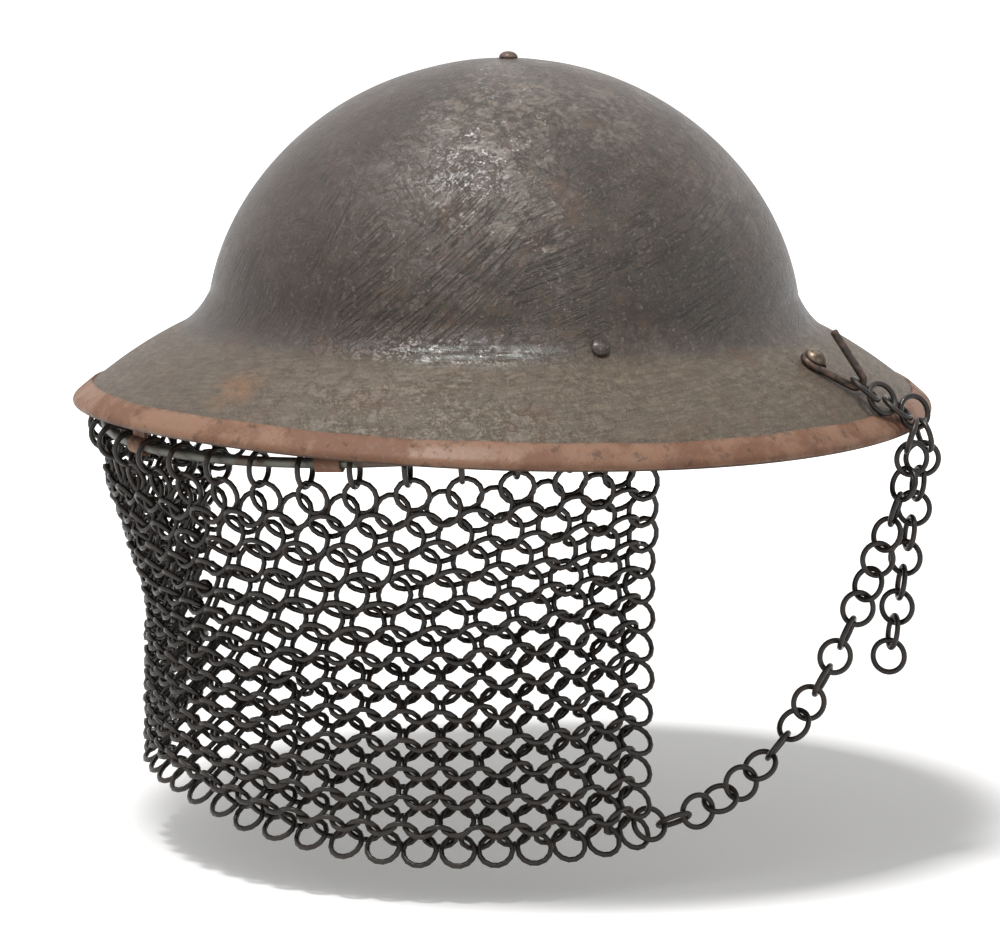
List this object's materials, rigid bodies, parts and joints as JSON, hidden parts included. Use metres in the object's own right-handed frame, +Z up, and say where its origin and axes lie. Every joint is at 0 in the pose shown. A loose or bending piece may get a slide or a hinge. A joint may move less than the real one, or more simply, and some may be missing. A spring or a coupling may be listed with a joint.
{
  "type": "steel helmet with mail face curtain",
  "caption": "Shallow steel bowl helmet with a wide brim, a folded rim band and a hanging curtain of linked rings over the face, held up by a side chain.",
  "frame": {"origin": "the point of the lining where the wearer's crown rests", "axes": "+Z up along the wearer's head, -Y towards the front, +X towards the wearer's left"},
  "size_m": [0.2928, 0.3058, 0.2637],
  "materials": {
    "steel_paint": "worn dark olive-grey paint, semi-gloss",
    "rim": "old salmon-brown paint over rust",
    "mail": "dark oiled steel wire with brown rust",
    "rod": "dark steel wire",
    "clip": "rust-brown sheet",
    "rivet_steel": "painted steel",
    "rivet_brass": "dull brassy brown",
    "hook_wire": "brown rusted wire",
    "webbing": "plain woven tape",
    "crown_cloth": "plain cotton",
    "cord": "twisted cotton cord",
    "oilcloth": "black oilcloth",
    "felt": "grey felt",
    "rubber": "dull rubber",
    "washer": "dull steel"
  },
  "bodies": {
    "helmet": {"shell": "steel_paint", "rim_band": "rim", "crown_rivet": "rivet_steel", "crown_washer": "washer", "strap_long": "webbing", "strap_cross": "webbing", "crown_ring": "rubber", "crown_cloth": "crown_cloth", "drawstring": "cord", "headband": "oilcloth", "headband_felt": "felt", "rubber_buffers": "rubber", "bail_rivet_left": "rivet_steel", "bail_rivet_right": "rivet_steel", "bail_lug_left": "rivet_steel", "bail_lug_right": "rivet_steel", "visor_rod": "rod", "rod_clips": "clip", "hook_rivet": "rivet_brass", "chain_lead": "mail"},
    "curtain_1": {"mail_strip_1": "mail", "hangers_1": "mail"},
    "curtain_2": {"mail_strip_2": "mail", "hangers_2": "mail"},
    "curtain_3": {"mail_strip_3": "mail", "hangers_3": "mail"},
    "curtain_4": {"mail_strip_4": "mail", "hangers_4": "mail"},
    "curtain_5": {"mail_strip_5": "mail", "hangers_5": "mail"},
    "curtain_6": {"mail_strip_6": "mail", "hangers_6": "mail"},
    "curtain_7": {"mail_strip_7": "mail", "hangers_7": "mail"},
    "chain_strand": {"chain_strand": "mail"},
    "chain_tail": {"chain_tail": "mail"},
    "hook": {"hook": "hook_wire"},
    "bail_left": {"bail_left": "rivet_steel"},
    "bail_right": {"bail_right": "rivet_steel"}
  },
  "joints": [
    {"name": "visor_swing", "type": "hinge", "parent": "helmet", "child": "curtain_4", "pos_m": [0, -0.14161, -0.0984], "axis": [-1, 0, 0], "range_deg": [0, 6]},
    {"name": "curtain_fold_4_5", "type": "hinge", "parent": "curtain_4", "child": "curtain_5", "pos_m": [0.03146, -0.14161, -0.0984], "axis": [0.2419, -0.965, -0.1014], "range_deg": [-4, 4]},
    {"name": "curtain_fold_5_6", "type": "hinge", "parent": "curtain_5", "child": "curtain_6", "pos_m": [0.08293, -0.11439, -0.09554], "axis": [0.6428, -0.7618, -0.0801], "range_deg": [-4, 4]},
    {"name": "curtain_fold_6_7", "type": "hinge", "parent": "curtain_6", "child": "curtain_7", "pos_m": [0.11596, -0.07235, -0.09112], "axis": [0.8988, -0.436, -0.0458], "range_deg": [-4, 4]},
    {"name": "curtain_fold_3_4", "type": "hinge", "parent": "curtain_4", "child": "curtain_3", "pos_m": [-0.03146, -0.14161, -0.0984], "axis": [-0.2419, -0.965, -0.1014], "range_deg": [-4, 4]},
    {"name": "curtain_fold_2_3", "type": "hinge", "parent": "curtain_3", "child": "curtain_2", "pos_m": [-0.08293, -0.11439, -0.09554], "axis": [-0.6428, -0.7618, -0.0801], "range_deg": [-4, 4]},
    {"name": "curtain_fold_1_2", "type": "hinge", "parent": "curtain_2", "child": "curtain_1", "pos_m": [-0.11596, -0.07235, -0.09112], "axis": [-0.8988, -0.436, -0.0458], "range_deg": [-4, 4]},
    {"name": "chain_swing", "type": "hinge", "parent": "helmet", "child": "chain_strand", "pos_m": [0.1183, 0.0939, -0.089], "axis": [-0.0602, -0.7937, 0.6053], "range_deg": [0, 6]},
    {"name": "chain_tail_swing", "type": "hinge", "parent": "helmet", "child": "chain_tail", "pos_m": [0.1179, 0.0972, -0.0888], "axis": [0.6361, -0.7716, 0], "range_deg": [0, 25]},
    {"name": "hook_turn", "type": "hinge", "parent": "helmet", "child": "hook", "pos_m": [0.10225, 0.06166, -0.06973], "axis": [0.4674, 0.246, 0.8492], "range_deg": [-3, 3]},
    {"name": "bail_left_swing", "type": "hinge", "parent": "helmet", "child": "bail_left", "pos_m": [0.10354, -0.02299, -0.06858], "axis": [-0.2167, -0.9762, 0], "range_deg": [-75, 55]},
    {"name": "bail_right_swing", "type": "hinge", "parent": "helmet", "child": "bail_right", "pos_m": [-0.10354, -0.02299, -0.06858], "axis": [-0.2167, 0.9762, 0], "range_deg": [-75, 55]}
  ],
  "couplings": [
    {"joint": "curtain_fold_4_5", "follows": "visor_swing", "ratio": 0.48384},
    {"joint": "curtain_fold_5_6", "follows": "visor_swing", "ratio": 0.41582},
    {"joint": "curtain_fold_6_7", "follows": "visor_swing", "ratio": 0.41582},
    {"joint": "curtain_fold_3_4", "follows": "visor_swing", "ratio": -0.48384},
    {"joint": "curtain_fold_2_3", "follows": "visor_swing", "ratio": -0.41582},
    {"joint": "curtain_fold_1_2", "follows": "visor_swing", "ratio": -0.41582},
    {"joint": "chain_swing", "follows": "visor_swing", "ratio": 0.81306}
  ]
}
